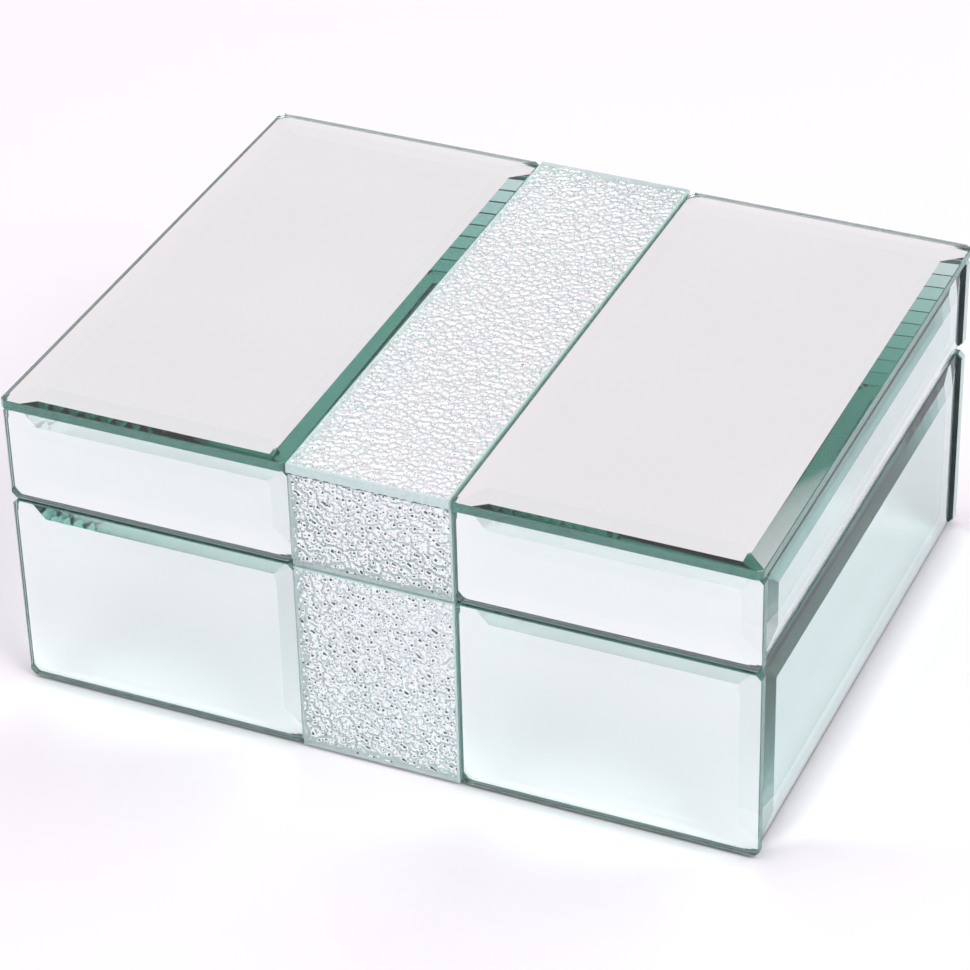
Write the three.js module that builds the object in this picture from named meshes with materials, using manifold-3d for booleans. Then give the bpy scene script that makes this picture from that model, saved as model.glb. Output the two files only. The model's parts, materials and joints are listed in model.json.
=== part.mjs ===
// Vanity trinket box: bevelled mirror plates on a fibreboard carcass, with a hinged lid.
// Millimetres. +X is right, +Y is back, +Z is up. The box stands on z = 0.
import * as THREE from 'three';
import { ConvexGeometry } from 'three/addons/geometries/ConvexGeometry.js';
import { mergeVertices } from 'three/addons/utils/BufferGeometryUtils.js';
import Module from 'manifold-3d';

// ---- driving dimensions ----
const WIDTH = 250; // outside of the glass, side to side
const DEPTH = 198; // outside of the glass, front to back
const FELT = 1; // felt sheet under the base
const BASE_HEIGHT = 68.7; // lower edge of the glass to the seam
const GLASS_HEIGHT = 108.1; // lower edge of the glass to the top face
const GLASS = 5; // bevelled plate, full thickness
const GLASS_EDGE = 3.3; // what the bevel leaves at the edge
const BEVEL = 9; // width of the bevel
const CORNER_CLIP = 1.6; // dubbed corner of a plate
const STRIP_GLASS = 4; // textured strip, thickness
const STRIP_WIDTH = 53.5;
const STRIP_ARRIS = 0.4; // small ground edge of the strip
const PLATE_GAP = 0.3; // between neighbouring plates, and behind each plate
const SEAM_GAP = 0.8; // between the lid's glass and the base's glass
const RIM_GAP = 1; // between the lid's rim and the base's rim
const WALL = 8; // fibreboard walls
const BOARD = 6; // fibreboard bottom and top
const GLUE = 0.1; // glue line between boards
const FELT_INSET = 3;
const CARD = 1.6; // velvet covered card
const CARD_DROP = 0.8; // card edge below the rim
const FLOOR_PAD = 4;
const LID_PAD = 5;
const PAD_CLEAR = 0.6; // round each pad
const BUMPER_RADIUS = 3;
const BUMPER_TOP_RADIUS = 2.4;
const BUMPER_HEIGHT = 0.9;
const BUMPER_INSET = 12; // from the board's end

// ---- hinges ----
const HINGE_X = 72; // each side of the middle
const LEAF_WIDTH = 34;
const LEAF = 1; // sheet thickness
const LEAF_SPLIT = 0.3; // between the closed leaves
const LEAF_END_GAP = 0.3;
const LEAF_BED = 0.1; // between a leaf and the board under it
const LEAF_SHORT = 0.8; // leaf ends before the inner face of the wall
const KNUCKLES = 5;
const KNUCKLE_RADIUS = 2.5;
const KNUCKLE_GAP = 0.2;
const KNUCKLE_RELIEF = 0.3;
const AXIS_OUT = 2.9; // hinge axis behind the glass
const BORE_RADIUS = 1.3;
const PIN_RADIUS = 1.2;
const PIN_HEAD_RADIUS = 1.8;
const PIN_HEAD = 0.8;
const BACK_SEAM = 1.5; // each back plate stops this far from the seam
const SCREW_X = 9;
const SCREW_LENGTH = 8.5;
const SCREW_RADIUS = 1.2;
const SCREW_HEAD_RADIUS = 2.2;
const SCREW_HEAD = 0.9;
const SCREW_CLEAR = 0.2;
const SCREW_TIP = 2;
const SLOT_LENGTH = 2.6;
const SLOT_WIDTH = 0.6;
const SLOT_DEPTH = 0.5;
const ROUND = 24; // sides of a round section
const OVERCUT = 1; // a cutting tool runs this far past the face

// ---- worked out ----
const BARREL_OUT = AXIS_OUT + KNUCKLE_RADIUS;
const BACK = (DEPTH - BARREL_OUT) / 2; // outer face of the back glass
const FRONT = BACK - DEPTH;
const MIDDLE_Y = (FRONT + BACK) / 2;
const SIDE = WIDTH / 2;
const SEAM = FELT + BASE_HEIGHT;
const TOP = FELT + GLASS_HEIGHT;
const SKIN = GLASS + PLATE_GAP; // glass and the bed behind it
const BOARD_X = SIDE - SKIN;
const BOARD_FRONT = FRONT + SKIN;
const BOARD_BACK = BACK - SKIN;
const CAVITY_X = BOARD_X - WALL;
const CAVITY_FRONT = BOARD_FRONT + WALL;
const CAVITY_BACK = BOARD_BACK - WALL;
const BASE_RIM = SEAM - RIM_GAP / 2;
const LID_RIM = SEAM + RIM_GAP / 2;
const FLOOR = FELT + BOARD;
const BOARD_TOP = TOP - SKIN;
const CEILING = BOARD_TOP - BOARD;
const AXIS_Y = BACK + AXIS_OUT;
const LEAF_LENGTH = AXIS_Y - CAVITY_BACK - LEAF_SHORT;
const SCREW_BACK = AXIS_Y - BOARD_BACK + WALL / 2; // screws in front of the axis
const LEAF_FACE = LEAF_SPLIT / 2;
const SIDE_PLATE_WIDTH = (WIDTH - STRIP_WIDTH) / 2 - PLATE_GAP;

const wasm = await Module();
wasm.setup();

// ---- materials ----
function finish(color, roughness, metalness) {
  return new THREE.MeshStandardMaterial({ color, roughness, metalness });
}
const mirror = finish(0xdfe6e8, 0.05, 0.9);
const pebbled = finish(0xe6ecec, 0.3, 0.7);
const fibreboard = finish(0x4a4644, 0.8, 0);
const velvet = finish(0x2c2a2e, 0.95, 0);
const felt = finish(0x26262a, 1, 0);
const nickel = finish(0xc9c9c6, 0.3, 1);
const clearRubber = finish(0xe4e8e8, 0.4, 0);

const box = new THREE.Group();
const base = new THREE.Group();
const lid = new THREE.Group();
box.add(base, lid);

function addMesh(group, name, geometry, material) {
  const mesh = new THREE.Mesh(geometry, material);
  mesh.name = name;
  group.add(mesh);
  return mesh;
}

// ---- solids ----
function toManifold(geometry) {
  const plain = geometry.clone();
  plain.deleteAttribute('normal');
  plain.deleteAttribute('uv');
  const merged = mergeVertices(plain);
  const vertProperties = merged.attributes.position.array;
  const triVerts = merged.index.array;
  return new wasm.Manifold(new wasm.Mesh({ numProp: 3, vertProperties, triVerts }));
}

function toGeometry(solid) {
  const mesh = solid.getMesh();
  const geometry = new THREE.BufferGeometry();
  geometry.setAttribute('position', new THREE.BufferAttribute(mesh.vertProperties, 3));
  geometry.setIndex(new THREE.BufferAttribute(mesh.triVerts, 1));
  return geometry;
}

// A block between two corners.
function block(x0, x1, y0, y1, z0, z1) {
  const geometry = new THREE.BoxGeometry(x1 - x0, y1 - y0, z1 - z0);
  geometry.translate((x0 + x1) / 2, (y0 + y1) / 2, (z0 + z1) / 2);
  return geometry;
}

// A round bar along X.
function bar(radius, x0, x1) {
  const geometry = new THREE.CylinderGeometry(radius, radius, x1 - x0, ROUND);
  geometry.rotateZ(Math.PI / 2);
  geometry.translate((x0 + x1) / 2, 0, 0);
  return geometry;
}

// A flat plate on z = 0 with ground edges: the outline with clipped corners stays full size up
// to the edge height, and the face is smaller by the bevel on every side.
function groundPlate(width, height, thickness, edge, bevel, clip) {
  const x = width / 2;
  const y = height / 2;
  const points = [];
  for (const sx of [-1, 1]) {
    for (const sy of [-1, 1]) {
      for (const z of [0, edge]) {
        points.push(new THREE.Vector3(sx * x, sy * (y - clip), z));
        points.push(new THREE.Vector3(sx * (x - clip), sy * y, z));
      }
      points.push(new THREE.Vector3(sx * (x - bevel), sy * (y - bevel), thickness));
    }
  }
  return new ConvexGeometry(points);
}

function mirrorPlate(width, height) {
  return groundPlate(width, height, GLASS, GLASS_EDGE, BEVEL, CORNER_CLIP);
}

function stripPlate(width, height) {
  const edge = STRIP_GLASS - STRIP_ARRIS;
  return groundPlate(width, height, STRIP_GLASS, edge, STRIP_ARRIS, STRIP_ARRIS);
}

// ---- plates, their bevelled faces outwards ----
const PLATE_X = SIDE - SIDE_PLATE_WIDTH / 2;
const TURN = { front: 0, right: Math.PI / 2, back: Math.PI, left: -Math.PI / 2 };

// Stands a flat plate up and turns its face to one side of the box.
function standUp(mesh, side, x, y, z) {
  mesh.rotation.set(Math.PI / 2, 0, TURN[side], 'ZYX');
  mesh.position.set(x, y, z);
}

function addFrontPlates(group, prefix, low, high) {
  const height = high - low;
  const y = FRONT + GLASS;
  const z = (low + high) / 2;
  const sidePlate = () => mirrorPlate(SIDE_PLATE_WIDTH, height);
  const left = addMesh(group, `${prefix}_front_plate_left`, sidePlate(), mirror);
  const strip = addMesh(group, `${prefix}_front_strip`, stripPlate(STRIP_WIDTH, height), pebbled);
  const right = addMesh(group, `${prefix}_front_plate_right`, sidePlate(), mirror);
  standUp(left, 'front', -PLATE_X, y, z);
  standUp(strip, 'front', 0, y, z);
  standUp(right, 'front', PLATE_X, y, z);
}

function addSidePlates(group, prefix, low, high) {
  const length = BOARD_BACK - BOARD_FRONT;
  const x = SIDE - GLASS;
  const z = (low + high) / 2;
  const left = addMesh(group, `${prefix}_left_plate`, mirrorPlate(length, high - low), mirror);
  const right = addMesh(group, `${prefix}_right_plate`, mirrorPlate(length, high - low), mirror);
  standUp(left, 'left', -x, MIDDLE_Y, z);
  standUp(right, 'right', x, MIDDLE_Y, z);
}

function addBackPlate(group, prefix, low, high) {
  const plate = addMesh(group, `${prefix}_back_plate`, mirrorPlate(WIDTH, high - low), mirror);
  standUp(plate, 'back', 0, BACK - GLASS, (low + high) / 2);
}

function addTopPlates() {
  const z = TOP - GLASS;
  const sidePlate = () => mirrorPlate(SIDE_PLATE_WIDTH, DEPTH);
  const left = addMesh(lid, 'lid_top_plate_left', sidePlate(), mirror);
  const strip = addMesh(lid, 'lid_top_strip', stripPlate(STRIP_WIDTH, DEPTH), pebbled);
  const right = addMesh(lid, 'lid_top_plate_right', sidePlate(), mirror);
  left.position.set(-PLATE_X, MIDDLE_Y, z);
  strip.position.set(0, MIDDLE_Y, z);
  right.position.set(PLATE_X, MIDDLE_Y, z);
}

function addPlates() {
  const glassBottom = FELT;
  const baseTop = SEAM - SEAM_GAP / 2;
  const lidBottom = SEAM + SEAM_GAP / 2;
  const lidTop = TOP - GLASS - PLATE_GAP;
  addFrontPlates(base, 'base', glassBottom, baseTop);
  addSidePlates(base, 'base', glassBottom, baseTop);
  addBackPlate(base, 'base', glassBottom, SEAM - BACK_SEAM);
  addFrontPlates(lid, 'lid', lidBottom, lidTop);
  addSidePlates(lid, 'lid', lidBottom, lidTop);
  addBackPlate(lid, 'lid', SEAM + BACK_SEAM, lidTop);
  addTopPlates();
}

// ---- hinge cutting tools and fasteners; head down -Z from z = 0 ----
function turned(profile) {
  const geometry = new THREE.LatheGeometry(profile.map(([r, z]) => new THREE.Vector2(r, z)), ROUND);
  geometry.rotateX(Math.PI / 2);
  return geometry;
}

function screwHole() {
  const shank = SCREW_RADIUS + SCREW_CLEAR;
  const head = SCREW_HEAD_RADIUS + SCREW_CLEAR;
  const bottom = -SCREW_LENGTH - OVERCUT;
  return turned([
    [0, bottom],
    [shank, bottom],
    [shank, -SCREW_HEAD],
    [head, 0],
    [head, OVERCUT],
    [0, OVERCUT],
  ]);
}

function screwGeometry() {
  const body = toManifold(turned([
    [0, -SCREW_LENGTH],
    [SCREW_RADIUS, -SCREW_LENGTH + SCREW_TIP],
    [SCREW_RADIUS, -SCREW_HEAD],
    [SCREW_HEAD_RADIUS, 0],
    [0, 0],
  ]));
  const long = SLOT_LENGTH / 2;
  const wide = SLOT_WIDTH / 2;
  const slotA = toManifold(block(-long, long, -wide, wide, -SLOT_DEPTH, OVERCUT));
  const slotB = toManifold(block(-wide, wide, -long, long, -SLOT_DEPTH, OVERCUT));
  return toGeometry(body.subtract(slotA).subtract(slotB));
}

// Head down for the base, head up from below for the lid.
function aim(geometry, up) {
  if (up > 0) geometry.rotateX(Math.PI);
  return geometry;
}

// One leaf with its knuckles, axis along X through the origin. up is -1 for the base's leaf
// and +1 for the lid's.
function leafGeometry(up) {
  const half = LEAF_WIDTH / 2;
  const inner = up * LEAF_FACE;
  const outer = up * (LEAF_FACE + LEAF);
  const low = Math.min(inner, outer);
  const high = Math.max(inner, outer);
  let leaf = toManifold(block(-half, half, -LEAF_LENGTH, 0, low, high));
  const width = LEAF_WIDTH / KNUCKLES;
  const reach = KNUCKLE_RADIUS + KNUCKLE_RELIEF;
  for (let i = 0; i < KNUCKLES; i += 1) {
    const x0 = -half + i * width;
    const x1 = x0 + width;
    const own = (i % 2 === 0) === (up < 0);
    if (own) {
      const start = i === 0 ? x0 : x0 + KNUCKLE_GAP / 2;
      const end = i === KNUCKLES - 1 ? x1 : x1 - KNUCKLE_GAP / 2;
      leaf = leaf.add(toManifold(bar(KNUCKLE_RADIUS, start, end)));
    }
  }
  for (let i = 0; i < KNUCKLES; i += 1) {
    const x0 = -half + i * width - KNUCKLE_GAP / 2;
    const x1 = x0 + width + KNUCKLE_GAP;
    const own = (i % 2 === 0) === (up < 0);
    if (!own) {
      leaf = leaf.subtract(toManifold(block(x0, x1, -reach, reach, -reach, reach)));
    }
  }
  leaf = leaf.subtract(toManifold(bar(BORE_RADIUS, -half - OVERCUT, half + OVERCUT)));
  for (const x of [-SCREW_X, SCREW_X]) {
    const hole = aim(screwHole(), up);
    hole.translate(x, -SCREW_BACK, inner);
    leaf = leaf.subtract(toManifold(hole));
  }
  return toGeometry(leaf);
}

function pinGeometry() {
  const half = LEAF_WIDTH / 2 + KNUCKLE_GAP / 2;
  const end = half + PIN_HEAD;
  const shaft = toManifold(bar(PIN_RADIUS, -end, end));
  const headA = toManifold(bar(PIN_HEAD_RADIUS, -end, -half));
  const headB = toManifold(bar(PIN_HEAD_RADIUS, half, end));
  return toGeometry(shaft.add(headA).add(headB));
}

function addHinge(word, x) {
  for (const [group, prefix, up] of [[base, 'base', -1], [lid, 'lid', 1]]) {
    const leaf = addMesh(group, `hinge_${word}_${prefix}_leaf`, leafGeometry(up), nickel);
    leaf.position.set(x, AXIS_Y, SEAM);
    for (const [i, offset] of [[1, -SCREW_X], [2, SCREW_X]]) {
      const name = `hinge_${word}_${prefix}_screw_${i}`;
      const screw = addMesh(group, name, aim(screwGeometry(), up), nickel);
      screw.position.set(x + offset, AXIS_Y - SCREW_BACK, SEAM + up * LEAF_FACE);
    }
  }
  const pin = addMesh(base, `hinge_${word}_pin`, pinGeometry(), nickel);
  pin.position.set(x, AXIS_Y, SEAM);
}

// ---- fibreboard carcass ----
// Cuts the hinge rebates and screw holes into a back board's rim.
function cutForHinges(geometry, up) {
  let board = toManifold(geometry);
  const floor = SEAM + up * (LEAF_FACE + LEAF + LEAF_BED);
  const open = SEAM - up * OVERCUT;
  const front = AXIS_Y - LEAF_LENGTH - LEAF_END_GAP;
  const half = LEAF_WIDTH / 2 + LEAF_END_GAP;
  for (const x of [-HINGE_X, HINGE_X]) {
    const low = Math.min(floor, open);
    const high = Math.max(floor, open);
    const rebate = block(x - half, x + half, front, BOARD_BACK + OVERCUT, low, high);
    board = board.subtract(toManifold(rebate));
    for (const offset of [-SCREW_X, SCREW_X]) {
      const hole = aim(screwHole(), up);
      hole.translate(x + offset, AXIS_Y - SCREW_BACK, SEAM + up * LEAF_FACE);
      board = board.subtract(toManifold(hole));
    }
  }
  return toGeometry(board);
}

function addWalls(group, names, low, high, up) {
  const front = block(-BOARD_X, BOARD_X, BOARD_FRONT, CAVITY_FRONT, low, high);
  const back = block(-BOARD_X, BOARD_X, CAVITY_BACK, BOARD_BACK, low, high);
  const y0 = CAVITY_FRONT + GLUE;
  const y1 = CAVITY_BACK - GLUE;
  const left = block(-BOARD_X, -CAVITY_X, y0, y1, low, high);
  const right = block(CAVITY_X, BOARD_X, y0, y1, low, high);
  addMesh(group, names('front'), front, fibreboard);
  addMesh(group, names('back'), cutForHinges(back, up), fibreboard);
  addMesh(group, names('left'), left, fibreboard);
  addMesh(group, names('right'), right, fibreboard);
}

function addCarcass() {
  const bottom = block(-BOARD_X, BOARD_X, BOARD_FRONT, BOARD_BACK, FELT, FLOOR);
  const top = block(-BOARD_X, BOARD_X, BOARD_FRONT, BOARD_BACK, CEILING, BOARD_TOP);
  addMesh(base, 'base_bottom_board', bottom, fibreboard);
  addMesh(lid, 'lid_top_board', top, fibreboard);
  addWalls(base, (word) => `base_${word}_board`, FLOOR + GLUE, BASE_RIM, -1);
  addWalls(lid, (word) => `lid_${word}_rail`, LID_RIM, CEILING - GLUE, 1);
}

// ---- lining, felt and bumpers ----
function addCards(group, prefix, low, high) {
  const x = CAVITY_X - GLUE;
  const y0 = CAVITY_FRONT + GLUE;
  const y1 = CAVITY_BACK - GLUE;
  const side0 = y0 + CARD + GLUE;
  const side1 = y1 - CARD - GLUE;
  const name = (word) => `${prefix}_lining_${word}`;
  addMesh(group, name('front'), block(-x, x, y0, y0 + CARD, low, high), velvet);
  addMesh(group, name('back'), block(-x, x, y1 - CARD, y1, low, high), velvet);
  addMesh(group, name('left'), block(-x, -x + CARD, side0, side1, low, high), velvet);
  addMesh(group, name('right'), block(x - CARD, x, side0, side1, low, high), velvet);
}

function padBlock(low, high) {
  const inset = GLUE + CARD + PAD_CLEAR;
  const x = CAVITY_X - inset;
  return block(-x, x, CAVITY_FRONT + inset, CAVITY_BACK - inset, low, high);
}

function addLining() {
  const baseLow = FLOOR + GLUE;
  const lidHigh = CEILING - GLUE;
  addCards(base, 'base', baseLow, BASE_RIM - CARD_DROP);
  addCards(lid, 'lid', LID_RIM + CARD_DROP, lidHigh);
  addMesh(base, 'base_floor_pad', padBlock(baseLow, baseLow + FLOOR_PAD), velvet);
  addMesh(lid, 'lid_pad', padBlock(lidHigh - LID_PAD, lidHigh), velvet);
}

function addFelt() {
  const x = BOARD_X - FELT_INSET;
  const sheet = block(-x, x, BOARD_FRONT + FELT_INSET, BOARD_BACK - FELT_INSET, 0, FELT);
  addMesh(base, 'base_felt', sheet, felt);
}

function addBumpers() {
  for (const [word, side] of [['left', -1], ['right', 1]]) {
    const args = [BUMPER_TOP_RADIUS, BUMPER_RADIUS, BUMPER_HEIGHT, ROUND];
    const geometry = new THREE.CylinderGeometry(...args);
    geometry.rotateX(Math.PI / 2);
    const bumper = addMesh(base, `bumper_${word}`, geometry, clearRubber);
    const x = side * (BOARD_X - BUMPER_INSET);
    bumper.position.set(x, BOARD_FRONT + WALL / 2, BASE_RIM + BUMPER_HEIGHT / 2);
  }
}

addFelt();
addCarcass();
addPlates();
addLining();
addBumpers();
addHinge('left', -HINGE_X);
addHinge('right', HINGE_X);

export default box;
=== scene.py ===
import json
import math
import random

import bmesh
import bpy
import numpy as np
from mathutils import Matrix, Vector


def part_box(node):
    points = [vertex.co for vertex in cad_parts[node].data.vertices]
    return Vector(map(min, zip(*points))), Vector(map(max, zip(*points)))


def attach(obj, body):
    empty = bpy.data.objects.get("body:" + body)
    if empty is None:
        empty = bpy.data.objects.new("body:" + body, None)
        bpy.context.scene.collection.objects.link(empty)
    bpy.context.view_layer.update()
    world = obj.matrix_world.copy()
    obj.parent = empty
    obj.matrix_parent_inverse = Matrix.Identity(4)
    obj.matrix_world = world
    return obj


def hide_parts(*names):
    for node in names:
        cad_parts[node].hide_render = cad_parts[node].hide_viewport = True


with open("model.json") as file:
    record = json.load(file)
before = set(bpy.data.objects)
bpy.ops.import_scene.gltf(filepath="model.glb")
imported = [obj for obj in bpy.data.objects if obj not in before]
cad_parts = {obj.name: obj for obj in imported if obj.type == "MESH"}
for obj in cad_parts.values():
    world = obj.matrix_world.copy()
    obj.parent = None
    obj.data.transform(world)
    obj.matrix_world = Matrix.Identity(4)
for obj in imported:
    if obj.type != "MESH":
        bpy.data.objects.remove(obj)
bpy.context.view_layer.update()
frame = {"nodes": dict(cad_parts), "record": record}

MM = 0.001

# ---- camera: where it stands from the middle of the footprint, and which way it looks ----
CAMERA_PLACE = Vector((0.4209, -0.9415, 0.7396))
CAMERA_AZIMUTH = math.radians(24.40)
CAMERA_ELEVATION = math.radians(33.97)
CAMERA_ROLL = math.radians(-1.55)
CAMERA_LENS = 141.86

# ---- glass ----
BEVEL = 9 * MM  # width of the ground bevel
EDGE = 3.3 * MM  # glass left at the edge
CORNER_CLIP = 1.6 * MM
ARRIS = 0.25 * MM  # small ground chamfer on a plate's edges
STRIP_ARRIS = 0.4 * MM
PAINT = 0.05 * MM  # backing paint, with a hairline of air to the silver
SILVER = 0.07 * MM  # level of the silvered face above the plate's back
GLASS_TINT = (0.22, 0.84, 0.72)
GLASS_IOR = 1.52
MIRROR_TINT = 14.0  # density of the tint in the bevelled plates
PALE_TINT = 0.6  # and in the pebbled strips
SILVER_BRIGHT = (0.935, 0.935, 0.935)  # front and top plates
SILVER_PAINTED_SHADE = (0.745, 0.80, 0.795)  # side and back plates, darker: painted shade for the shadowed floor they reflect
SILVER_PEBBLED = (0.92, 0.945, 0.945)
SILVER_CLOUD = 0.02  # how much darker the clouds in it are

# ---- pebbled back of the textured strips ----
PEBBLE_PITCH = 1.8 * MM
PEBBLE_DEPTH = 0.58 * MM
PEBBLE_STEP = 0.24 * MM
PEBBLE_SHARPNESS = 14.0
PEBBLE_SCATTER = 1.0  # how far a pebble's middle may lie off an even grid, in pitches
PEBBLE_LIFT = 0.3  # how much lower than its neighbours a pebble may be
PEBBLE_CREASE = 0.6  # depth of a crease, where it is cut off flat
PEBBLE_NEAR = 2  # how many pebbles away one still shapes a point
PEBBLE_MARGIN = 1.5  # pebbles laid past the plate's edge
PEBBLE_SEED = 7

# ---- carcass and lining ----
BOARD_EASE = 0.35 * MM
CARD_ROUND = 0.55 * MM
CARD_STEP = 4 * MM
PAD_STEP = 5 * MM
PAD_START = 0.5  # of its height, before it swells
PAD_PRESSURE = 4
PAD_CAP = 3 * MM
PAD_FRAMES = 20
FELT_STEP = 4 * MM
FELT_ROUGH = 0.12 * MM
FELT_ROUND = 0.25 * MM
FELT_SEED = 11
BUMPER_FOOT = 0.97  # of its radius
BUMPER_RIM = 0.12  # of its height, where the dome begins
BUMPER_DOME = 0.38  # of its radius, taken up by the rounding
BUMPER_STEPS = 8
TOUCH = 0.001 * MM  # points closer than this lie on one face

# ---- hinges ----
KNUCKLES = 5
KNUCKLE_GAP = 0.2 * MM
KNUCKLE_RADIUS = 2.5 * MM
KNUCKLE_RELIEF = 0.3 * MM
KNUCKLE_EASE = 0.25 * MM
BORE_RADIUS = 1.3 * MM
PIN_RADIUS = 1.2 * MM
PIN_HEAD_RADIUS = 1.8 * MM
PIN_HEAD = 0.8 * MM
PIN_EASE = 0.2 * MM
TAB_OVERLAP = 0.3 * MM  # a leaf's tab stops this far outside the bore
LEAF_CORNER = 2.0 * MM
LEAF_CORNER_STEPS = 6
LEAF_EASE = 0.12 * MM
LEAF_CREASE = 20  # degrees, so that the flats of a leaf stay flat
SCREW_HEAD_RADIUS = 2.2 * MM
SCREW_HEAD = 0.9 * MM
SCREW_CLEAR = 0.2 * MM
SCREW_RADIUS = 1.2 * MM
SCREW_TIP = 2 * MM
SCREW_EASE = 0.1 * MM
SLOT_LENGTH = 2.6 * MM
SLOT_WIDTH = 0.6 * MM
SLOT_DEPTH = 0.5 * MM
LEAF_THICK = 1 * MM
ROUND = 64  # sides of a round section

# ---- tent: its tone, then each lamp or opening as aim, inner and outer angle, and tone ----
TENT_TONE = (0.86, 0.885, 0.935)
TENT = (
    ((-0.30, 0.75, 0.55), 24, 60, (1.0, 0.885, 0.93)),  # behind, seen in the top plates
    ((-0.35, -0.25, 0.90), 16, 32, (1.6, 1.6, 1.62)),  # the lamp overhead
    ((0.42, 0.90, -0.02), 14, 30, (0.25, 0.25, 0.26)),  # dark and low behind
    ((0.34, -0.755, 0.559), 24, 36, (0.02, 0.02, 0.022)),  # the camera's opening
)
KEY_PLACE = (1.5, -0.7, 1.8)
KEY_SIZE = 1.2
KEY_POWER = 19
KEY_COLOUR = (1.0, 0.98, 0.96)
KEY_AIM = (0, 0, 0.05)
FLOOR_HALF = 4.0
FLOOR_TONE = (0.97, 0.932, 0.965)
BOUNCES = 64  # light caught in a plate is reflected many times before it leaves

LEFT, RIGHT = Vector((-1, 0, 0)), Vector((1, 0, 0))
FRONT, BACK = Vector((0, -1, 0)), Vector((0, 1, 0))
UP, DOWN = Vector((0, 0, 1)), Vector((0, 0, -1))
ALONG = 0.6  # a face looks one way if its normal goes this far along it


# ---------------------------------------------------------------- mesh helpers
def new_object(name, mesh, materials=()):
    obj = bpy.data.objects.new(name, mesh)
    bpy.context.scene.collection.objects.link(obj)
    for material in materials:
        mesh.materials.append(material)
    return obj


def object_from_bmesh(name, bm, materials=(), smooth=False):
    mesh = bpy.data.meshes.new(name)
    bmesh.ops.recalc_face_normals(bm, faces=bm.faces)
    bm.to_mesh(mesh)
    bm.free()
    if smooth:
        for polygon in mesh.polygons:
            polygon.use_smooth = True
    return new_object(name, mesh, materials)


def finish_piece(obj, body, slot, *nodes):
    """Rides on a body and stands for its CAD nodes, which it hides; slot is not used."""
    if nodes:
        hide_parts(*nodes)
    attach(obj, body)
    return obj


def apply_modifiers(obj):
    dg = bpy.context.evaluated_depsgraph_get()
    mesh = bpy.data.meshes.new_from_object(obj.evaluated_get(dg))
    old = obj.data
    obj.modifiers.clear()
    obj.data = mesh
    mesh.name = old.name
    bpy.data.meshes.remove(old)


def face_axes(outward):
    """Width and height directions of a plate that faces outward."""
    if abs(outward.z) > ALONG:
        return RIGHT, BACK
    return UP.cross(outward), UP


def plate_place(cad_node, outward):
    """Matrix from a plate's own axes (width, height, outward from its back) and its size."""
    low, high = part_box(cad_node)
    middle = (low + high) / 2
    size = high - low
    across, upwards = face_axes(outward)
    width = abs(size.dot(across))
    height = abs(size.dot(upwards))
    thick = abs(size.dot(outward))
    origin = middle - outward * (thick / 2)
    rows = [(across[i], upwards[i], outward[i], origin[i]) for i in range(3)]
    return Matrix(rows + [(0, 0, 0, 1)]), width, height, thick


# ---------------------------------------------------------------- glass plates
def outline(width, height, clip, inset, level):
    """A rectangle with clipped corners, counter-clockwise."""
    x, y = width / 2 - inset, height / 2 - inset
    flat = [
        (x - clip, -y), (x, -y + clip), (x, y - clip), (x - clip, y),
        (-x + clip, y), (-x, y - clip), (-x, -y + clip), (-x + clip, -y),
    ]
    return [Vector((px, py, level)) for px, py in flat]


def bridge(bm, lower, upper, slot):
    count = len(lower)
    for i in range(count):
        j = (i + 1) % count
        face = bm.faces.new((lower[i], lower[j], upper[j], upper[i]))
        face.material_index = slot


# material slots of a plate, after the glass in slot 0
EDGE_SLOT, SILVER_SLOT, PAINT_SLOT, DULL_SHADED_SLOT, FROSTED_SLOT = range(1, 6)
PAINTED_GLOW_SLOT = 4  # near-white edge with painted light, on a pebbled strip, which has no dull edge


def backing_paint(bm, place, width, height, clip):
    """The thin coat of paint behind the silver."""
    inset = ARRIS
    lower = [bm.verts.new(place @ p) for p in outline(width, height, clip, inset, 0.0)]
    upper = [bm.verts.new(place @ p) for p in outline(width, height, clip, inset, PAINT)]
    bridge(bm, lower, upper, PAINT_SLOT)
    for loop in (list(reversed(lower)), upper):
        bm.faces.new(loop).material_index = PAINT_SLOT


def finish_edges(bm, frosted):
    """Edges that face down are left dull and coloured darker, painted shade from the shadowed
    floor under them; some are finely frosted, and the rest are polished.
    """
    bm.normal_update()
    for face in bm.faces:
        if face.material_index != EDGE_SLOT:
            continue
        if face.normal.dot(DOWN) > ALONG:
            face.material_index = DULL_SHADED_SLOT
        elif any(face.normal.dot(way) > ALONG for way in frosted):
            face.material_index = FROSTED_SLOT


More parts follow.
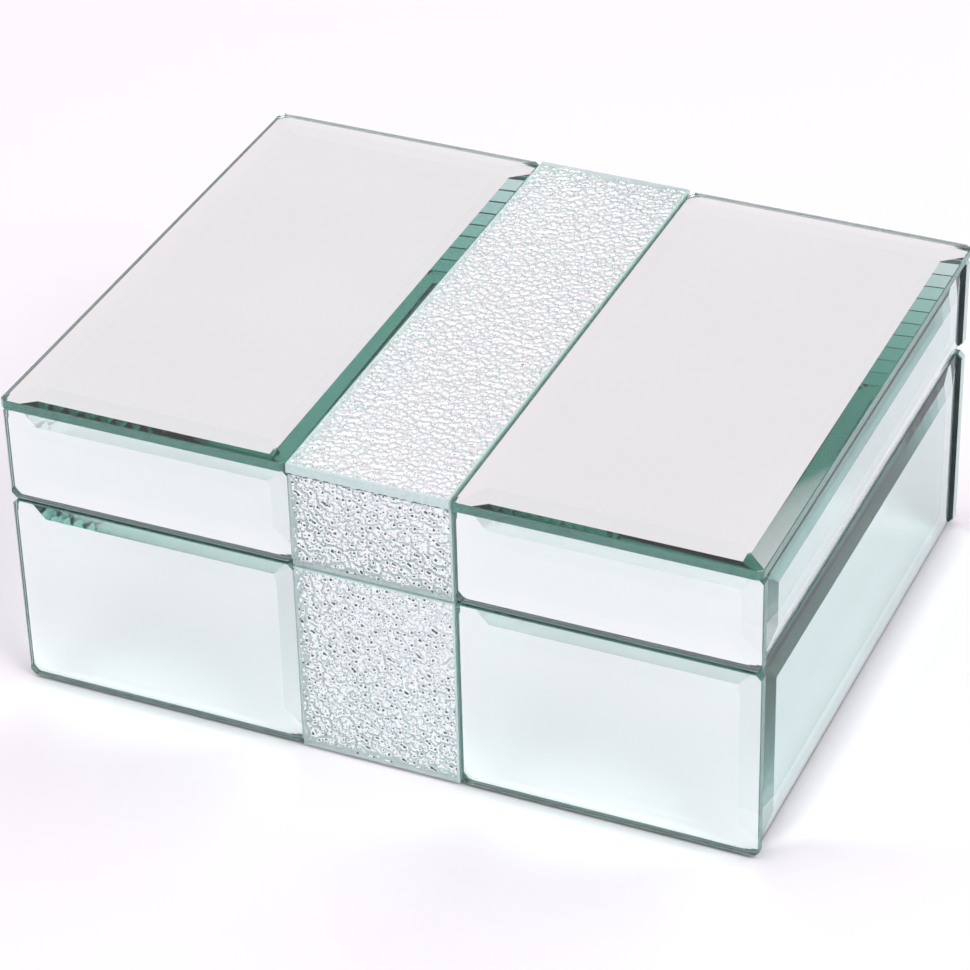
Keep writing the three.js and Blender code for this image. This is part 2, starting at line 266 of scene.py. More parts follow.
def bevelled_plate(cad_node, outward, body, silver, frosted=()):
    place, width, height, thick = plate_place(cad_node, outward)
    slope = (thick - EDGE) / BEVEL
    rings = [
        (ARRIS, SILVER),
        (0.0, SILVER + ARRIS),
        (0.0, EDGE - ARRIS),
        (ARRIS, EDGE + ARRIS * slope),
    ]
    bm = bmesh.new()
    loops = []
    for inset, level in rings:
        points = outline(width, height, CORNER_CLIP, inset, level)
        loops.append([bm.verts.new(place @ p) for p in points])
    for lower, upper in zip(loops, loops[1:]):
        bridge(bm, lower, upper, EDGE_SLOT)
    back = bm.faces.new(list(reversed(loops[0])))
    back.material_index = SILVER_SLOT
    x, y = width / 2 - BEVEL, height / 2 - BEVEL
    corners = [(x, -y), (x, y), (-x, y), (-x, -y)]
    inner = [bm.verts.new(place @ Vector((cx, cy, thick))) for cx, cy in corners]
    rim = loops[-1]
    for k in range(4):
        before, after = rim[2 * k], rim[2 * k + 1]
        following = rim[(2 * k + 2) % 8]
        bm.faces.new((before, after, inner[k]))
        bm.faces.new((after, following, inner[(k + 1) % 4], inner[k]))
    bm.faces.new(inner)
    bmesh.ops.recalc_face_normals(bm, faces=bm.faces)
    finish_edges(bm, frosted)
    backing_paint(bm, place, width, height, CORNER_CLIP)
    materials = (
        glass_material("mirror_glass", MIRROR_TINT),
        polished_edge_material(),
        silver,
        paint_back_material(),
        dull_shaded_edge_material(),
        frosted_edge_material(),
    )
    plate = object_from_bmesh(f"{cad_node}_glass", bm, materials)
    return finish_piece(plate, body, "mirror_plate", cad_node)


def pebble_heights(width, height, rng):
    """Grid positions, and heights from 0 to 1 of domes that meet in soft creases."""
    columns = max(2, round(width / PEBBLE_STEP))
    rows = max(2, round(height / PEBBLE_STEP))
    xs = np.linspace(-width / 2, width / 2, columns + 1)
    ys = np.linspace(-height / 2, height / 2, rows + 1)
    gx, gy = np.meshgrid(xs, ys, indexing="ij")
    across = int(width / PEBBLE_PITCH) + 2 * PEBBLE_NEAR
    along = int(height / PEBBLE_PITCH) + 2 * PEBBLE_NEAR
    jitter = (rng.random((across, along, 2)) - 0.5) * PEBBLE_SCATTER
    lift = rng.random((across, along)) * PEBBLE_LIFT
    cx = (gx + width / 2) / PEBBLE_PITCH + PEBBLE_MARGIN
    cy = (gy + height / 2) / PEBBLE_PITCH + PEBBLE_MARGIN
    ix, iy = np.floor(cx).astype(int), np.floor(cy).astype(int)
    total = np.zeros_like(gx)
    reach = range(-PEBBLE_NEAR, PEBBLE_NEAR + 1)
    for dx in reach:
        for dy in reach:
            kx = np.clip(ix + dx, 0, across - 1)
            ky = np.clip(iy + dy, 0, along - 1)
            px = ix + dx + 0.5 + jitter[kx, ky, 0]
            py = iy + dy + 0.5 + jitter[kx, ky, 1]
            away = (cx - px) ** 2 + (cy - py) ** 2
            total += np.exp(-PEBBLE_SHARPNESS * (away + lift[kx, ky]))
    dome = np.log(total) / PEBBLE_SHARPNESS
    dome = np.clip(1 + dome / PEBBLE_CREASE, 0, 1)
    return gx, gy, dome


def pebbled_plate(cad_node, outward, body, seed):
    """Smooth outside; the silvered back is a fine grid raised into the glass as pebbles."""
    place, width, height, thick = plate_place(cad_node, outward)
    gx, gy, lumps = pebble_heights(width, height, np.random.default_rng(PEBBLE_SEED + seed))
    columns, rows = gx.shape
    bm = bmesh.new()
    grid = [
        [
            bm.verts.new(place @ Vector((x, y, SILVER + z * PEBBLE_DEPTH)))
            for x, y, z in zip(gx[i], gy[i], lumps[i])
        ]
        for i in range(columns)
    ]
    for near, far in zip(grid, grid[1:]):
        for j in range(rows - 1):
            face = bm.faces.new((near[j], near[j + 1], far[j + 1], far[j]))
            face.material_index = SILVER_SLOT
            face.smooth = True
    shoulder = thick - STRIP_ARRIS
    wall = []
    cap = []
    for sx, sy in ((1, -1), (1, 1), (-1, 1), (-1, -1)):
        x, y = sx * width / 2, sy * height / 2
        wall.append(bm.verts.new(place @ Vector((x, y, shoulder))))
        inner = Vector((x - sx * STRIP_ARRIS, y - sy * STRIP_ARRIS, thick))
        cap.append(bm.verts.new(place @ inner))
    sides = [
        list(grid[-1]),
        [line[-1] for line in reversed(grid)],
        list(reversed(grid[0])),
        [line[0] for line in grid],
    ]
    across, upwards = face_axes(outward)
    for k, way in enumerate((across, upwards, -across, -upwards)):
        face = bm.faces.new(sides[k] + [wall[(k + 1) % 4], wall[k]])
        # edges facing down, left and back get the near-white edge: painted light in their dark
        # gap
        painted_glow = way in (DOWN, LEFT, BACK)
        face.material_index = PAINTED_GLOW_SLOT if painted_glow else EDGE_SLOT
        for edge in face.edges:
            edge.smooth = False
    bridge(bm, wall, cap, EDGE_SLOT)
    bm.faces.new(cap)
    backing_paint(bm, place, width, height, ARRIS)
    materials = (
        glass_material("pale_glass", PALE_TINT),
        frosted_edge_material(),
        silver_material("silvering_pebbled", SILVER_PEBBLED),
        paint_back_material(),
        painted_glow_edge_material(),
    )
    plate = object_from_bmesh(f"{cad_node}_glass", bm, materials)
    return finish_piece(plate, body, "textured_mirror", cad_node)


# ---------------------------------------------------------------- materials
MADE = {}


def material(name):
    """A new material with its node tree and shader, or the one already made and no tree."""
    if name in MADE:
        return MADE[name], None, None
    made = bpy.data.materials.new(name)
    made.use_nodes = True
    MADE[name] = made
    tree = made.node_tree
    return made, tree, tree.nodes["Principled BSDF"]


def node(tree, kind, **values):
    made = tree.nodes.new(kind)
    for key, value in values.items():
        if key.startswith("in_"):
            socket = key[3:].replace("_", " ")
            made.inputs[socket].default_value = value
        else:
            setattr(made, key, value)
    return made


def link(tree, source, target):
    tree.links.new(source, target)


def object_noise(tree, scale, detail, stretch=None):
    """Noise in the object's own coordinates, stretched along its axes if asked."""
    place = node(tree, "ShaderNodeTexCoord").outputs["Object"]
    if stretch is not None:
        warp = node(tree, "ShaderNodeMapping")
        warp.inputs["Scale"].default_value = stretch
        link(tree, place, warp.inputs["Vector"])
        place = warp.outputs["Vector"]
    noise = node(tree, "ShaderNodeTexNoise", in_Scale=scale, in_Detail=detail)
    link(tree, place, noise.inputs["Vector"])
    return noise.outputs["Fac"]


def colour_by(tree, shader, factor, dark, light):
    """The shader's colour, dark where the noise is low and light where it is high."""
    ramp = node(tree, "ShaderNodeValToRGB")
    ramp.color_ramp.elements[0].position = 0.35
    ramp.color_ramp.elements[1].position = 0.65
    ramp.color_ramp.elements[0].color = (*dark, 1)
    ramp.color_ramp.elements[1].color = (*light, 1)
    link(tree, factor, ramp.inputs["Fac"])
    link(tree, ramp.outputs["Color"], shader.inputs["Base Color"])


def roughen_by(tree, shader, factor, low, high):
    """The shader's roughness, from low to high as the noise rises."""
    span = node(tree, "ShaderNodeMapRange")
    span.inputs["From Min"].default_value = 0.3
    span.inputs["From Max"].default_value = 0.7
    span.inputs["To Min"].default_value = low
    span.inputs["To Max"].default_value = high
    link(tree, factor, span.inputs["Value"])
    link(tree, span.outputs["Result"], shader.inputs["Roughness"])


def bumps(tree, shader, factor, strength, distance):
    bump = node(tree, "ShaderNodeBump", in_Strength=strength, in_Distance=distance)
    link(tree, factor, bump.inputs["Height"])
    link(tree, bump.outputs["Normal"], shader.inputs["Normal"])


def tinted_inside(tree, density, tint):
    inside = node(tree, "ShaderNodeVolumeAbsorption", in_Density=density)
    inside.inputs["Color"].default_value = (*tint, 1)
    link(tree, inside.outputs["Volume"], tree.nodes["Material Output"].inputs["Volume"])


def glass_material(name, density):
    made, tree, shader = material(name)
    if tree is None:
        return made
    shader.inputs["Base Color"].default_value = (1, 1, 1, 1)
    shader.inputs["Roughness"].default_value = 0.0
    shader.inputs["IOR"].default_value = GLASS_IOR
    shader.inputs["Transmission Weight"].default_value = 1.0
    tinted_inside(tree, density, GLASS_TINT)
    return made


def polished_edge_material():
    made, tree, shader = material("polished_glass_edge")
    if tree is None:
        return made
    grind = object_noise(tree, 700.0, 4.0)
    colour_by(tree, shader, grind, (0.30, 0.60, 0.54), (0.46, 0.78, 0.72))
    roughen_by(tree, shader, grind, 0.12, 0.24)
    shader.inputs["IOR"].default_value = GLASS_IOR
    shader.inputs["Transmission Weight"].default_value = 0.75
    tinted_inside(tree, MIRROR_TINT, GLASS_TINT)
    return made


def dull_shaded_edge_material():
    """A coarsely ground edge, left as the wheel cut it, coloured darker as painted shade for the
    dark gap under the plates.
    """
    made, tree, shader = material("dull_glass_edge_painted_shade")
    if tree is None:
        return made
    grind = object_noise(tree, 500.0, 4.0)
    # darker teal than the polished edge: painted shade
    colour_by(tree, shader, grind, (0.20, 0.33, 0.30), (0.30, 0.45, 0.42))
    roughen_by(tree, shader, grind, 0.3, 0.45)
    shader.inputs["IOR"].default_value = GLASS_IOR
    shader.inputs["Transmission Weight"].default_value = 0.3
    tinted_inside(tree, MIRROR_TINT, GLASS_TINT)
    return made


def frosted_edge_material():
    made, tree, shader = material("frosted_glass_edge")
    if tree is None:
        return made
    grind = object_noise(tree, 900.0, 5.0)
    colour_by(tree, shader, grind, (0.62, 0.77, 0.75), (0.72, 0.86, 0.84))
    roughen_by(tree, shader, grind, 0.35, 0.5)
    bumps(tree, shader, grind, 0.2, 0.0001)
    shader.inputs["IOR"].default_value = GLASS_IOR
    shader.inputs["Transmission Weight"].default_value = 0.2
    tinted_inside(tree, PALE_TINT, GLASS_TINT)
    return made


def painted_glow_edge_material():
    """A frosted edge coloured near white: painted light, so that the edges seen through the
    glass look lit from inside it though they lie in a dark gap.
    """
    made, tree, shader = material("painted_glow_glass_edge")
    if tree is None:
        return made
    grind = object_noise(tree, 900.0, 5.0)
    # near white: painted light standing in for light carried inside the glass
    colour_by(tree, shader, grind, (0.84, 0.89, 0.88), (0.92, 0.96, 0.95))
    roughen_by(tree, shader, grind, 0.4, 0.55)
    bumps(tree, shader, grind, 0.2, 0.0001)
    return made


def silver_material(name, tone):
    """Silvering of one batch of plates: never quite even, and a little darker in clouds."""
    made, tree, shader = material(name)
    if tree is None:
        return made
    cloud = object_noise(tree, 14.0, 3.0)
    shade = tuple(part - SILVER_CLOUD for part in tone)
    colour_by(tree, shader, cloud, shade, tone)
    shader.inputs["Metallic"].default_value = 1.0
    shader.inputs["Roughness"].default_value = 0.01
    return made


def paint_back_material():
    made, tree, shader = material("mirror_backing_paint")
    if tree is None:
        return made
    cloud = object_noise(tree, 120.0, 4.0)
    colour_by(tree, shader, cloud, (0.035, 0.05, 0.05), (0.06, 0.08, 0.08))
    roughen_by(tree, shader, cloud, 0.45, 0.65)
    return made


def board_material():
    """Fibreboard under satin black paint: faint roller texture, fibres and rubbed spots."""
    made, tree, shader = material("painted_fibreboard")
    if tree is None:
        return made
    roller = object_noise(tree, 1400.0, 3.0)
    fibre = object_noise(tree, 260.0, 5.0, (1.0, 1.0, 3.0))
    colour_by(tree, shader, fibre, (0.012, 0.012, 0.013), (0.03, 0.029, 0.028))
    roughen_by(tree, shader, fibre, 0.38, 0.6)
    bumps(tree, shader, roller, 0.25, 0.0001)
    return made


def velvet_material():
    """Black velvet: short pile brushed in patches, bright at a grazing angle."""
    made, tree, shader = material("black_velvet")
    if tree is None:
        return made
    brushed = object_noise(tree, 26.0, 3.0, (1.0, 0.55, 1.0))
    pile = object_noise(tree, 2600.0, 2.0)
    colour_by(tree, shader, brushed, (0.010, 0.010, 0.012), (0.030, 0.029, 0.034))
    roughen_by(tree, shader, brushed, 0.8, 1.0)
    bumps(tree, shader, pile, 0.6, 0.0003)
    shader.inputs["Specular IOR Level"].default_value = 0.15
    shader.inputs["Sheen Weight"].default_value = 0.55
    shader.inputs["Sheen Roughness"].default_value = 0.35
    shader.inputs["Sheen Tint"].default_value = (0.62, 0.62, 0.70, 1)
    return made


def felt_material():
    """Pressed black felt: matted fibres in two directions."""
    made, tree, shader = material("black_felt")
    if tree is None:
        return made
    first = object_noise(tree, 500.0, 4.0, (1.0, 0.18, 1.0))
    second = object_noise(tree, 500.0, 4.0, (0.18, 1.0, 1.0))
    mat = node(tree, "ShaderNodeMath", operation="MAXIMUM")
    link(tree, first, mat.inputs[0])
    link(tree, second, mat.inputs[1])
    colour_by(tree, shader, mat.outputs[0], (0.012, 0.012, 0.014), (0.05, 0.05, 0.054))
    roughen_by(tree, shader, first, 0.85, 1.0)
    bumps(tree, shader, mat.outputs[0], 0.7, 0.0004)
    shader.inputs["Specular IOR Level"].default_value = 0.1
    shader.inputs["Sheen Weight"].default_value = 0.3
    return made


def nickel_material():
    """Bright nickel plate with a faint brushed grain and dull spots."""
    made, tree, shader = material("nickel_plate")
    if tree is None:
        return made
    brush = object_noise(tree, 900.0, 4.0, (0.06, 1.0, 1.0))
    dull = object_noise(tree, 180.0, 3.0)
    colour_by(tree, shader, dull, (0.56, 0.55, 0.52), (0.68, 0.67, 0.64))
    roughen_by(tree, shader, brush, 0.16, 0.32)
    bumps(tree, shader, brush, 0.12, 0.00005)
    shader.inputs["Metallic"].default_value = 1.0
    return made


def rubber_material():
    """Clear soft polyurethane, a little cloudy."""
    made, tree, shader = material("clear_rubber")
    if tree is None:
        return made
    cloud = object_noise(tree, 400.0, 3.0)
    colour_by(tree, shader, cloud, (0.86, 0.88, 0.87), (0.95, 0.96, 0.95))
    roughen_by(tree, shader, cloud, 0.12, 0.3)
    shader.inputs["IOR"].default_value = 1.49
    shader.inputs["Transmission Weight"].default_value = 0.85
    return made


# ---------------------------------------------------------------- studio
def add_camera():
    data = bpy.data.cameras.new("camera")
    data.lens = CAMERA_LENS
    data.clip_start = 0.01
    camera = bpy.data.objects.new("camera", data)
    bpy.context.scene.collection.objects.link(camera)
    turn = Matrix.Rotation(CAMERA_AZIMUTH, 4, "Z")
    tilt = Matrix.Rotation(math.pi / 2 - CAMERA_ELEVATION, 4, "X")
    roll = Matrix.Rotation(CAMERA_ROLL, 4, "Z")
    low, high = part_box("base_felt")
    middle = (low + high) / 2
    place = Vector((0, middle.y, 0)) + CAMERA_PLACE
    camera.matrix_world = Matrix.Translation(place) @ turn @ tilt @ roll
    bpy.context.scene.camera = camera


def add_floor():
    bm = bmesh.new()
    bmesh.ops.create_grid(bm, x_segments=1, y_segments=1, size=FLOOR_HALF)
    made, _, shader = material("studio_floor")
    shader.inputs["Base Color"].default_value = (*FLOOR_TONE, 1)
    shader.inputs["Roughness"].default_value = 0.9
    shader.inputs["Specular IOR Level"].default_value = 0.1
    floor = object_from_bmesh("floor", bm, (made,))


def lobe(tree, direction, aim, inner, outer):
    """1 within the inner angle of aim, 0 beyond the outer, in degrees."""
    toward = node(tree, "ShaderNodeVectorMath", operation="DOT_PRODUCT")
    toward.inputs[1].default_value = Vector(aim).normalized()
    link(tree, direction, toward.inputs[0])
    shape = node(tree, "ShaderNodeMapRange", interpolation_type="SMOOTHSTEP")
    shape.inputs["From Min"].default_value = math.cos(math.radians(outer))
    shape.inputs["From Max"].default_value = math.cos(math.radians(inner))
    link(tree, toward.outputs["Value"], shape.inputs["Value"])
    return shape.outputs["Result"]


def add_world():
    """A pale tent, with its lamps behind the cloth and an opening for the camera."""
    world = bpy.data.worlds.new("studio")
    bpy.context.scene.world = world
    world.use_nodes = True
    tree = world.node_tree
    background = tree.nodes["Background"]
    direction = node(tree, "ShaderNodeTexCoord").outputs["Generated"]
    colour = None
    for aim, inner, outer, tone in TENT:
        mix = node(tree, "ShaderNodeMixRGB")
        if colour is None:
            mix.inputs["Color1"].default_value = (*TENT_TONE, 1)
        else:
            link(tree, colour, mix.inputs["Color1"])
        mix.inputs["Color2"].default_value = (*tone, 1)
        link(tree, lobe(tree, direction, aim, inner, outer), mix.inputs["Fac"])
        colour = mix.outputs["Color"]
    link(tree, colour, background.inputs["Color"])
    background.inputs["Strength"].default_value = 1.0


def add_light(name, place, aim, size, power, colour):
    data = bpy.data.lights.new(name, "AREA")
    data.shape = "SQUARE"
    data.size = size
    data.energy = power
    data.color = colour
    light = bpy.data.objects.new(name, data)
    bpy.context.scene.collection.objects.link(light)
    light.location = place
    way = Vector(aim) - Vector(place)
    light.rotation_euler = way.to_track_quat("-Z", "Y").to_euler()


def studio():
    add_camera()
    add_floor()
    add_world()
    add_light("key", KEY_PLACE, KEY_AIM, KEY_SIZE, KEY_POWER, KEY_COLOUR)
    scene = bpy.context.scene
    scene.view_settings.view_transform = "Standard"
    scene.cycles.max_bounces = BOUNCES
    scene.cycles.glossy_bounces = BOUNCES
    scene.cycles.transmission_bounces = BOUNCES
    scene.cycles.blur_glossy = 0


# ---------------------------------------------------------------- carcass, lining, felt, bumpers
def paint_boards():
    """The boards keep their CAD shape, with eased edges and black paint."""
    for name, board in frame["nodes"].items():
        if name.endswith(("_board", "_rail")):
            for used in board.material_slots:
                used.material = board_material()
            ease = board.modifiers.new("eased", "BEVEL")
            ease.width = BOARD_EASE
            ease.segments = 2
            ease.limit_method = "ANGLE"


def slab(low, high, step):
    """A closed block with a grid on each face."""
    size = high - low
    counts = [max(2, round(length / step)) for length in size]
    bm = bmesh.new()
    made = {}

    def corner(i, j, k):
        if (i, j, k) not in made:
            share = Vector((i / counts[0], j / counts[1], k / counts[2]))
            made[i, j, k] = bm.verts.new(low + share * size)
        return made[i, j, k]

    for axis in range(3):
        one, two = (axis + 1) % 3, (axis + 2) % 3
        for end in (0, counts[axis]):
            for a in range(counts[one]):
                for b in range(counts[two]):
                    ring = []
                    for da, db in ((0, 0), (1, 0), (1, 1), (0, 1)):
                        at = [0, 0, 0]
                        at[axis], at[one], at[two] = end, a + da, b + db
                        ring.append(corner(*at))
                    bm.faces.new(ring if end else list(reversed(ring)))
    return bm


def velvet_cards():
    """Cards wrapped in velvet: the pile rounds their edges and is never quite even."""
    for name in frame["nodes"]:
        if "_lining_" not in name:
            continue
        low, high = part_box(name)
        bm = slab(low, high, CARD_STEP)
        card = object_from_bmesh(f"{name}_velvet", bm, (velvet_material(),), smooth=True)
        soften = card.modifiers.new("round", "BEVEL")
        soften.width = CARD_ROUND
        soften.segments = 3
        soften.limit_method = "ANGLE"
        soften.angle_limit = math.radians(60)
        apply_modifiers(card)
        for polygon in card.data.polygons:
            polygon.use_smooth = True
        finish_piece(card, name.split("_")[0], "velvet", name)


def swell(obj, held):
    """Blows a pad up as cloth, with its held points still, and keeps the result."""
    group = obj.vertex_groups.new(name="held")
    group.add(held, 1.0, "REPLACE")
    start = [v.co.copy() for v in obj.data.vertices]
    cloth = obj.modifiers.new("swell", "CLOTH")
    cloth.settings.vertex_group_mass = "held"
    cloth.settings.use_pressure = True
    cloth.settings.uniform_pressure_force = PAD_PRESSURE
    cloth.settings.effector_weights.gravity = 0
    cloth.point_cache.frame_start = 1
    cloth.point_cache.frame_end = PAD_FRAMES
    for step in range(1, PAD_FRAMES + 1):
        bpy.context.scene.frame_set(step)
        bpy.context.view_layer.update()
    apply_modifiers(obj)
    bpy.context.scene.frame_set(1)
    for vertex, before in zip(obj.data.vertices, start):
        move = vertex.co - before
        if move.length > PAD_CAP:
            vertex.co = before + move.normalized() * PAD_CAP


def pad(cad_node, body, face):
    """A thin foam board in velvet, glued down flat; face is 1 if it looks up, -1 if down."""
    low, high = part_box(cad_node)
    size = high - low
    thin_low, thin_high = low.copy(), high.copy()
    if face > 0:
        thin_high.z = low.z + size.z * PAD_START
    else:
        thin_low.z = high.z - size.z * PAD_START
    bm = slab(thin_low, thin_high, PAD_STEP)
    glued = low.z if face > 0 else high.z
    piece = object_from_bmesh(f"{cad_node}_velvet", bm, (velvet_material(),), smooth=True)
    held = [v.index for v in piece.data.vertices if abs(v.co.z - glued) < TOUCH]
    swell(piece, held)
    settle(piece, low, high, glued, face)
    smooth = piece.modifiers.new("smooth", "SUBSURF")
    smooth.levels = 1
    smooth.render_levels = 1
    apply_modifiers(piece)
    for polygon in piece.data.polygons:
        polygon.use_smooth = True
    finish_piece(piece, body, "velvet", cad_node)


def settle(piece, low, high, glued, face):
    """Keeps the pad in the space of its solid: full height at its crown, and no wider."""
    reach = max(abs(v.co.z - glued) for v in piece.data.vertices)
    scale = (high.z - low.z) / reach
    for vertex in piece.data.vertices:
        lift = abs(vertex.co.z - glued) * scale
        vertex.co.z = glued + face * lift
        vertex.co.x = min(max(vertex.co.x, low.x), high.x)
        vertex.co.y = min(max(vertex.co.y, low.y), high.y)


def felt_sheet():
    """Felt under the base, with soft cut edges."""
    low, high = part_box("base_felt")
    size = high - low
    rng = random.Random(FELT_SEED)
    bm = slab(low, high, FELT_STEP)
    for vertex in bm.verts:
        x, y = vertex.co.x, vertex.co.y
        if min(x - low.x, high.x - x, y - low.y, high.y - y) < TOUCH:
            inward = Vector((0, low.y + size.y / 2, 0)) - vertex.co
            inward.z = 0
            vertex.co += inward.normalized() * rng.random() * FELT_ROUGH
    sheet = object_from_bmesh("base_felt_sheet", bm, (felt_material(),), smooth=True)
    soften = sheet.modifiers.new("round", "BEVEL")
    soften.width = FELT_ROUND
    soften.segments = 2
    soften.limit_method = "ANGLE"
    soften.angle_limit = math.radians(60)
    apply_modifiers(sheet)
    finish_piece(sheet, "base", "felt", "base_felt")


def add_turned(bm, profile, origin, along, closed=False):
    """Turns (radius, distance) points about a line. A closed profile makes a ring."""
    along = along.normalized()
    side = along.orthogonal().normalized()
    other = along.cross(side)
    rings = []
    for radius, distance in profile:
        centre = origin + along * distance
        if radius == 0:
            rings.append([bm.verts.new(centre)])
            continue
        ring = []
        for i in range(ROUND):
            angle = 2 * math.pi * i / ROUND
            out = side * math.cos(angle) + other * math.sin(angle)
            ring.append(bm.verts.new(centre + out * radius))
        rings.append(ring)
    pairs = list(zip(rings, rings[1:]))
    if closed:
        pairs.append((rings[-1], rings[0]))
    for one, two in pairs:
        for i in range(ROUND):
            j = (i + 1) % ROUND
            if len(one) == 1:
                bm.faces.new((one[0], two[j], two[i]))
            elif len(two) == 1:
                bm.faces.new((one[i], one[j], two[0]))
            else:
                bm.faces.new((one[i], one[j], two[j], two[i]))


def shade_by_angle(obj, degrees=35):
    for polygon in obj.data.polygons:
        polygon.use_smooth = True
    obj.data.set_sharp_from_angle(angle=math.radians(degrees))


def bumpers():
    for side in ("left", "right"):
        name = f"bumper_{side}"
        low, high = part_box(name)
        radius = (high.x - low.x) / 2
        height = high.z - low.z
        profile = [(0, 0), (radius * BUMPER_FOOT, 0), (radius, height * BUMPER_RIM)]
        for step in range(1, BUMPER_STEPS + 1):
            angle = math.radians(90 * step / BUMPER_STEPS)
            out = 1 - BUMPER_DOME + BUMPER_DOME * math.cos(angle)
            up = BUMPER_RIM + (1 - BUMPER_RIM) * math.sin(angle)
            profile.append((radius * out, height * up))
        profile.append((0, height))
        bm = bmesh.new()
        middle = (low + high) / 2
        add_turned(bm, profile, Vector((middle.x, middle.y, low.z)), UP)
        dot = object_from_bmesh(f"{name}_dot", bm, (rubber_material(),))
        shade_by_angle(dot)
        finish_piece(dot, "base", "clear_bumper", name)


# ---------------------------------------------------------------- hinges
def cut_away(obj, cutter_bm):
    """Takes the cutter's volume out of a piece."""
    cutter = object_from_bmesh(f"{obj.name}_cutter", cutter_bm)
    cut = obj.modifiers.new("cut", "BOOLEAN")
    cut.object = cutter
    cut.operation = "DIFFERENCE"
    cut.solver = "EXACT"
    apply_modifiers(obj)
    spare = cutter.data
    bpy.data.objects.remove(cutter)
    bpy.data.meshes.remove(spare)


def leaf_outline(low, high, axis_y, own):
    """The flat leaf: rounded free corners, and tabs that run into its own knuckles."""
    notch = axis_y - KNUCKLE_RADIUS - KNUCKLE_RELIEF
    tab = axis_y - BORE_RADIUS - TAB_OVERLAP
    width = (high.x - low.x) / KNUCKLES
    points = []
    for corner_x, turn in ((low.x, 180), (high.x, 270)):
        inward = LEAF_CORNER if corner_x == low.x else -LEAF_CORNER
        for step in range(LEAF_CORNER_STEPS + 1):
            angle = math.radians(turn + 90 * step / LEAF_CORNER_STEPS)
            points.append((
                corner_x + inward + LEAF_CORNER * math.cos(angle),
                low.y + LEAF_CORNER + LEAF_CORNER * math.sin(angle),
            ))
    for i in reversed(range(KNUCKLES)):
        x0 = low.x + i * width
        x1 = x0 + width
        back = tab if i % 2 == own else notch
        trim = KNUCKLE_GAP / 2 if i % 2 == own else -KNUCKLE_GAP / 2
        right = x1 if i == KNUCKLES - 1 else x1 - trim
        left = x0 if i == 0 else x0 + trim
        points.extend([(right, back), (left, back)])
    return points


def screw_holes(word, part, level, up):
    """The countersunk holes of a leaf whose inner face is at this level, as one cutter."""
    holes = bmesh.new()
    deep = -SCREW_HEAD * 3
    for number in (1, 2):
        low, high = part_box(f"hinge_{word}_{part}_screw_{number}")
        middle = (low + high) / 2
        profile = [
            (0, deep), (SCREW_RADIUS + SCREW_CLEAR, deep),
            (SCREW_RADIUS + SCREW_CLEAR, -SCREW_HEAD), (SCREW_HEAD_RADIUS + SCREW_CLEAR, 0),
            (SCREW_HEAD_RADIUS + SCREW_CLEAR, MM), (0, MM),
        ]
        add_turned(holes, profile, Vector((middle.x, middle.y, level)), UP * -up)
    return holes


def add_knuckles(bm, low, high, own, axis):
    """Every other knuckle between the two ends, as a ring round the bore."""
    width = (high.x - low.x) / KNUCKLES
    for i in range(own, KNUCKLES, 2):
        start = low.x + i * width + (KNUCKLE_GAP / 2 if i > 0 else 0)
        end = low.x + (i + 1) * width - (KNUCKLE_GAP / 2 if i < KNUCKLES - 1 else 0)
        barrel = [
            (BORE_RADIUS, start), (KNUCKLE_RADIUS - KNUCKLE_EASE, start),
            (KNUCKLE_RADIUS, start + KNUCKLE_EASE), (KNUCKLE_RADIUS, end - KNUCKLE_EASE),
            (KNUCKLE_RADIUS - KNUCKLE_EASE, end), (BORE_RADIUS, end),
        ]
        add_turned(bm, barrel, Vector((0, axis.y, axis.z)), RIGHT, closed=True)


def leaf(word, part, own, axis):
    """A leaf: own is 0 if its knuckles are the first, third and fifth."""
    name = f"hinge_{word}_{part}_leaf"
    up = 1 if part == "lid" else -1
    low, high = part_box(name)
    whole_low, whole_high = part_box(f"hinge_{word}_base_leaf")  # its knuckles reach both ends
    low.x, high.x = whole_low.x, whole_high.x
    screw_low, screw_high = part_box(f"hinge_{word}_{part}_screw_1")
    inner = screw_high.z if up < 0 else screw_low.z
    outer = inner + up * LEAF_THICK
    points = leaf_outline(low, high, axis.y, own)
    bm = bmesh.new()
    lower = [bm.verts.new((x, y, min(inner, outer))) for x, y in points]
    upper = [bm.verts.new((x, y, max(inner, outer))) for x, y in points]
    bridge(bm, lower, upper, 0)
    bm.faces.new(list(reversed(lower)))
    bm.faces.new(upper)
    made = object_from_bmesh(f"{name}_plate", bm, (nickel_material(),))
    cut_away(made, screw_holes(word, part, inner, up))
    ease = made.modifiers.new("ease", "BEVEL")
    ease.width = LEAF_EASE
    ease.segments = 2
    ease.limit_method = "ANGLE"
    apply_modifiers(made)
    bm = bmesh.new()
    bm.from_mesh(made.data)
    add_knuckles(bm, low, high, own, axis)
    bmesh.ops.recalc_face_normals(bm, faces=bm.faces)
    bm.to_mesh(made.data)
    bm.free()
    shade_by_angle(made, LEAF_CREASE)
    finish_piece(made, part, "hinge_metal", name)


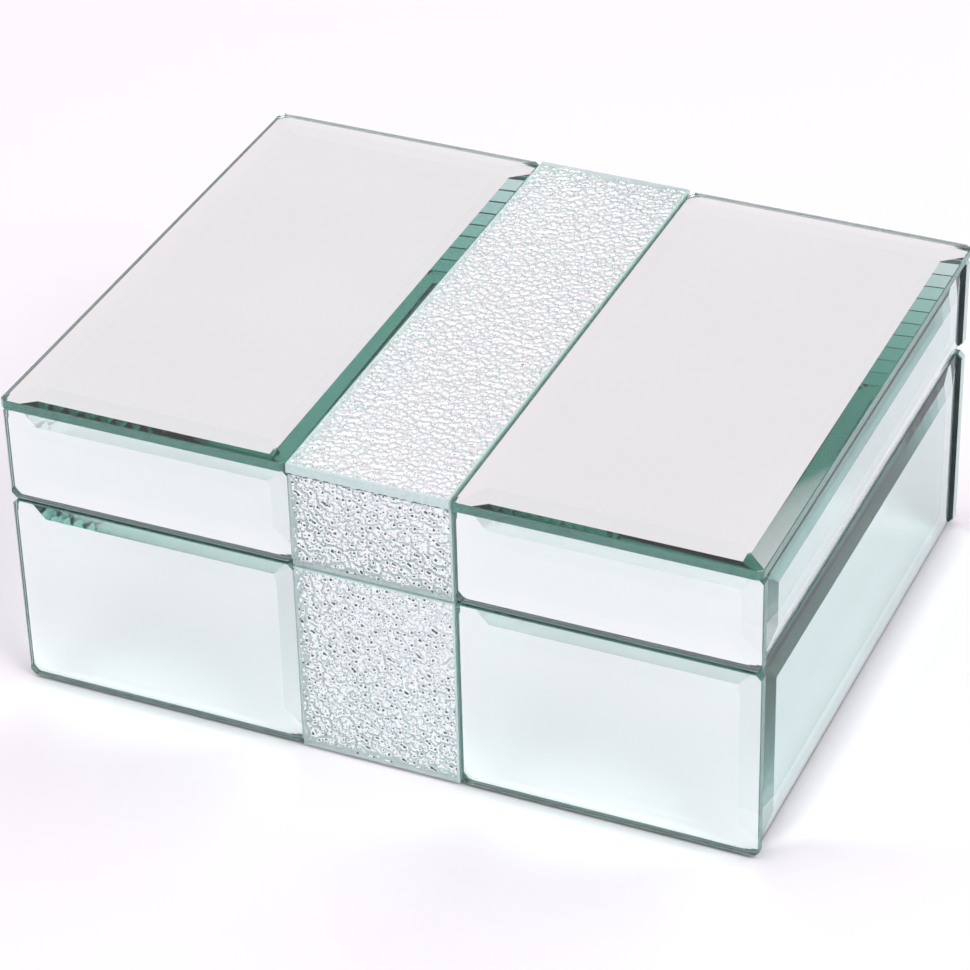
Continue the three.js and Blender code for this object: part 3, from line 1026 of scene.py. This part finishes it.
def screw(name, part):
    low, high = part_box(name)
    up = 1 if part == "lid" else -1
    middle = (low + high) / 2
    face = high.z if up < 0 else low.z
    length = high.z - low.z
    profile = [
        (0, 0), (SCREW_HEAD_RADIUS - SCREW_EASE, 0), (SCREW_HEAD_RADIUS, -SCREW_EASE),
        (SCREW_RADIUS, -SCREW_HEAD), (SCREW_RADIUS, SCREW_TIP - length), (0, -length),
    ]
    bm = bmesh.new()
    add_turned(bm, profile, Vector((middle.x, middle.y, face)), UP * -up)
    made = object_from_bmesh(f"{name}_turned", bm, (nickel_material(),))
    long, wide = SLOT_LENGTH / 2, SLOT_WIDTH / 2
    for half_x, half_y in ((long, wide), (wide, long)):
        reach = Vector((half_x, half_y, SLOT_DEPTH))
        centre = Vector((middle.x, middle.y, face))
        cut_away(made, slab(centre - reach, centre + reach, 1.0))
    shade_by_angle(made)
    finish_piece(made, part, "hinge_metal", name)


def pin(word, axis):
    name = f"hinge_{word}_pin"
    low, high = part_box(name)
    rim = PIN_HEAD_RADIUS - PIN_EASE
    profile = [
        (0, low.x), (rim, low.x), (PIN_HEAD_RADIUS, low.x + PIN_EASE),
        (PIN_HEAD_RADIUS, low.x + PIN_HEAD), (PIN_RADIUS, low.x + PIN_HEAD),
        (PIN_RADIUS, high.x - PIN_HEAD), (PIN_HEAD_RADIUS, high.x - PIN_HEAD),
        (PIN_HEAD_RADIUS, high.x - PIN_EASE), (rim, high.x), (0, high.x),
    ]
    bm = bmesh.new()
    add_turned(bm, profile, Vector((0, axis.y, axis.z)), RIGHT)
    made = object_from_bmesh(f"{name}_turned", bm, (nickel_material(),))
    shade_by_angle(made)
    finish_piece(made, "base", "hinge_metal", name)


def hinges():
    axis = Vector(frame["record"]["behaviour"]["joints"][0]["pos_m"])
    for word in ("left", "right"):
        for own, part in enumerate(("base", "lid")):
            leaf(word, part, own, axis)
            for number in (1, 2):
                screw(f"hinge_{word}_{part}_screw_{number}", part)
        pin(word, axis)


# ---------------------------------------------------------------- the object
def glass():
    bright = silver_material("silvering_bright", SILVER_BRIGHT)
    # the side and back plates get darker silver, painted shade for the shadowed floor they would
    # reflect
    shaded_silver = silver_material("silvering_painted_shade", SILVER_PAINTED_SHADE)
    for part in ("base", "lid"):
        for side, outward in (("left", LEFT), ("right", RIGHT)):
            bevelled_plate(f"{part}_{side}_plate", outward, part, shaded_silver, frosted=(BACK,))
        bevelled_plate(f"{part}_back_plate", BACK, part, shaded_silver, frosted=(LEFT, RIGHT))
        for side, inner in (("left", RIGHT), ("right", LEFT)):
            bevelled_plate(f"{part}_front_plate_{side}", FRONT, part, bright, frosted=(inner,))
        pebbled_plate(f"{part}_front_strip", FRONT, part, len(part))
    for side in ("left", "right"):
        bevelled_plate(f"lid_top_plate_{side}", UP, "lid", bright)
    pebbled_plate("lid_top_strip", UP, "lid", 1)


studio()
glass()
paint_boards()
velvet_cards()
pad("base_floor_pad", "base", 1)
pad("lid_pad", "lid", -1)
felt_sheet()
bumpers()
hinges()
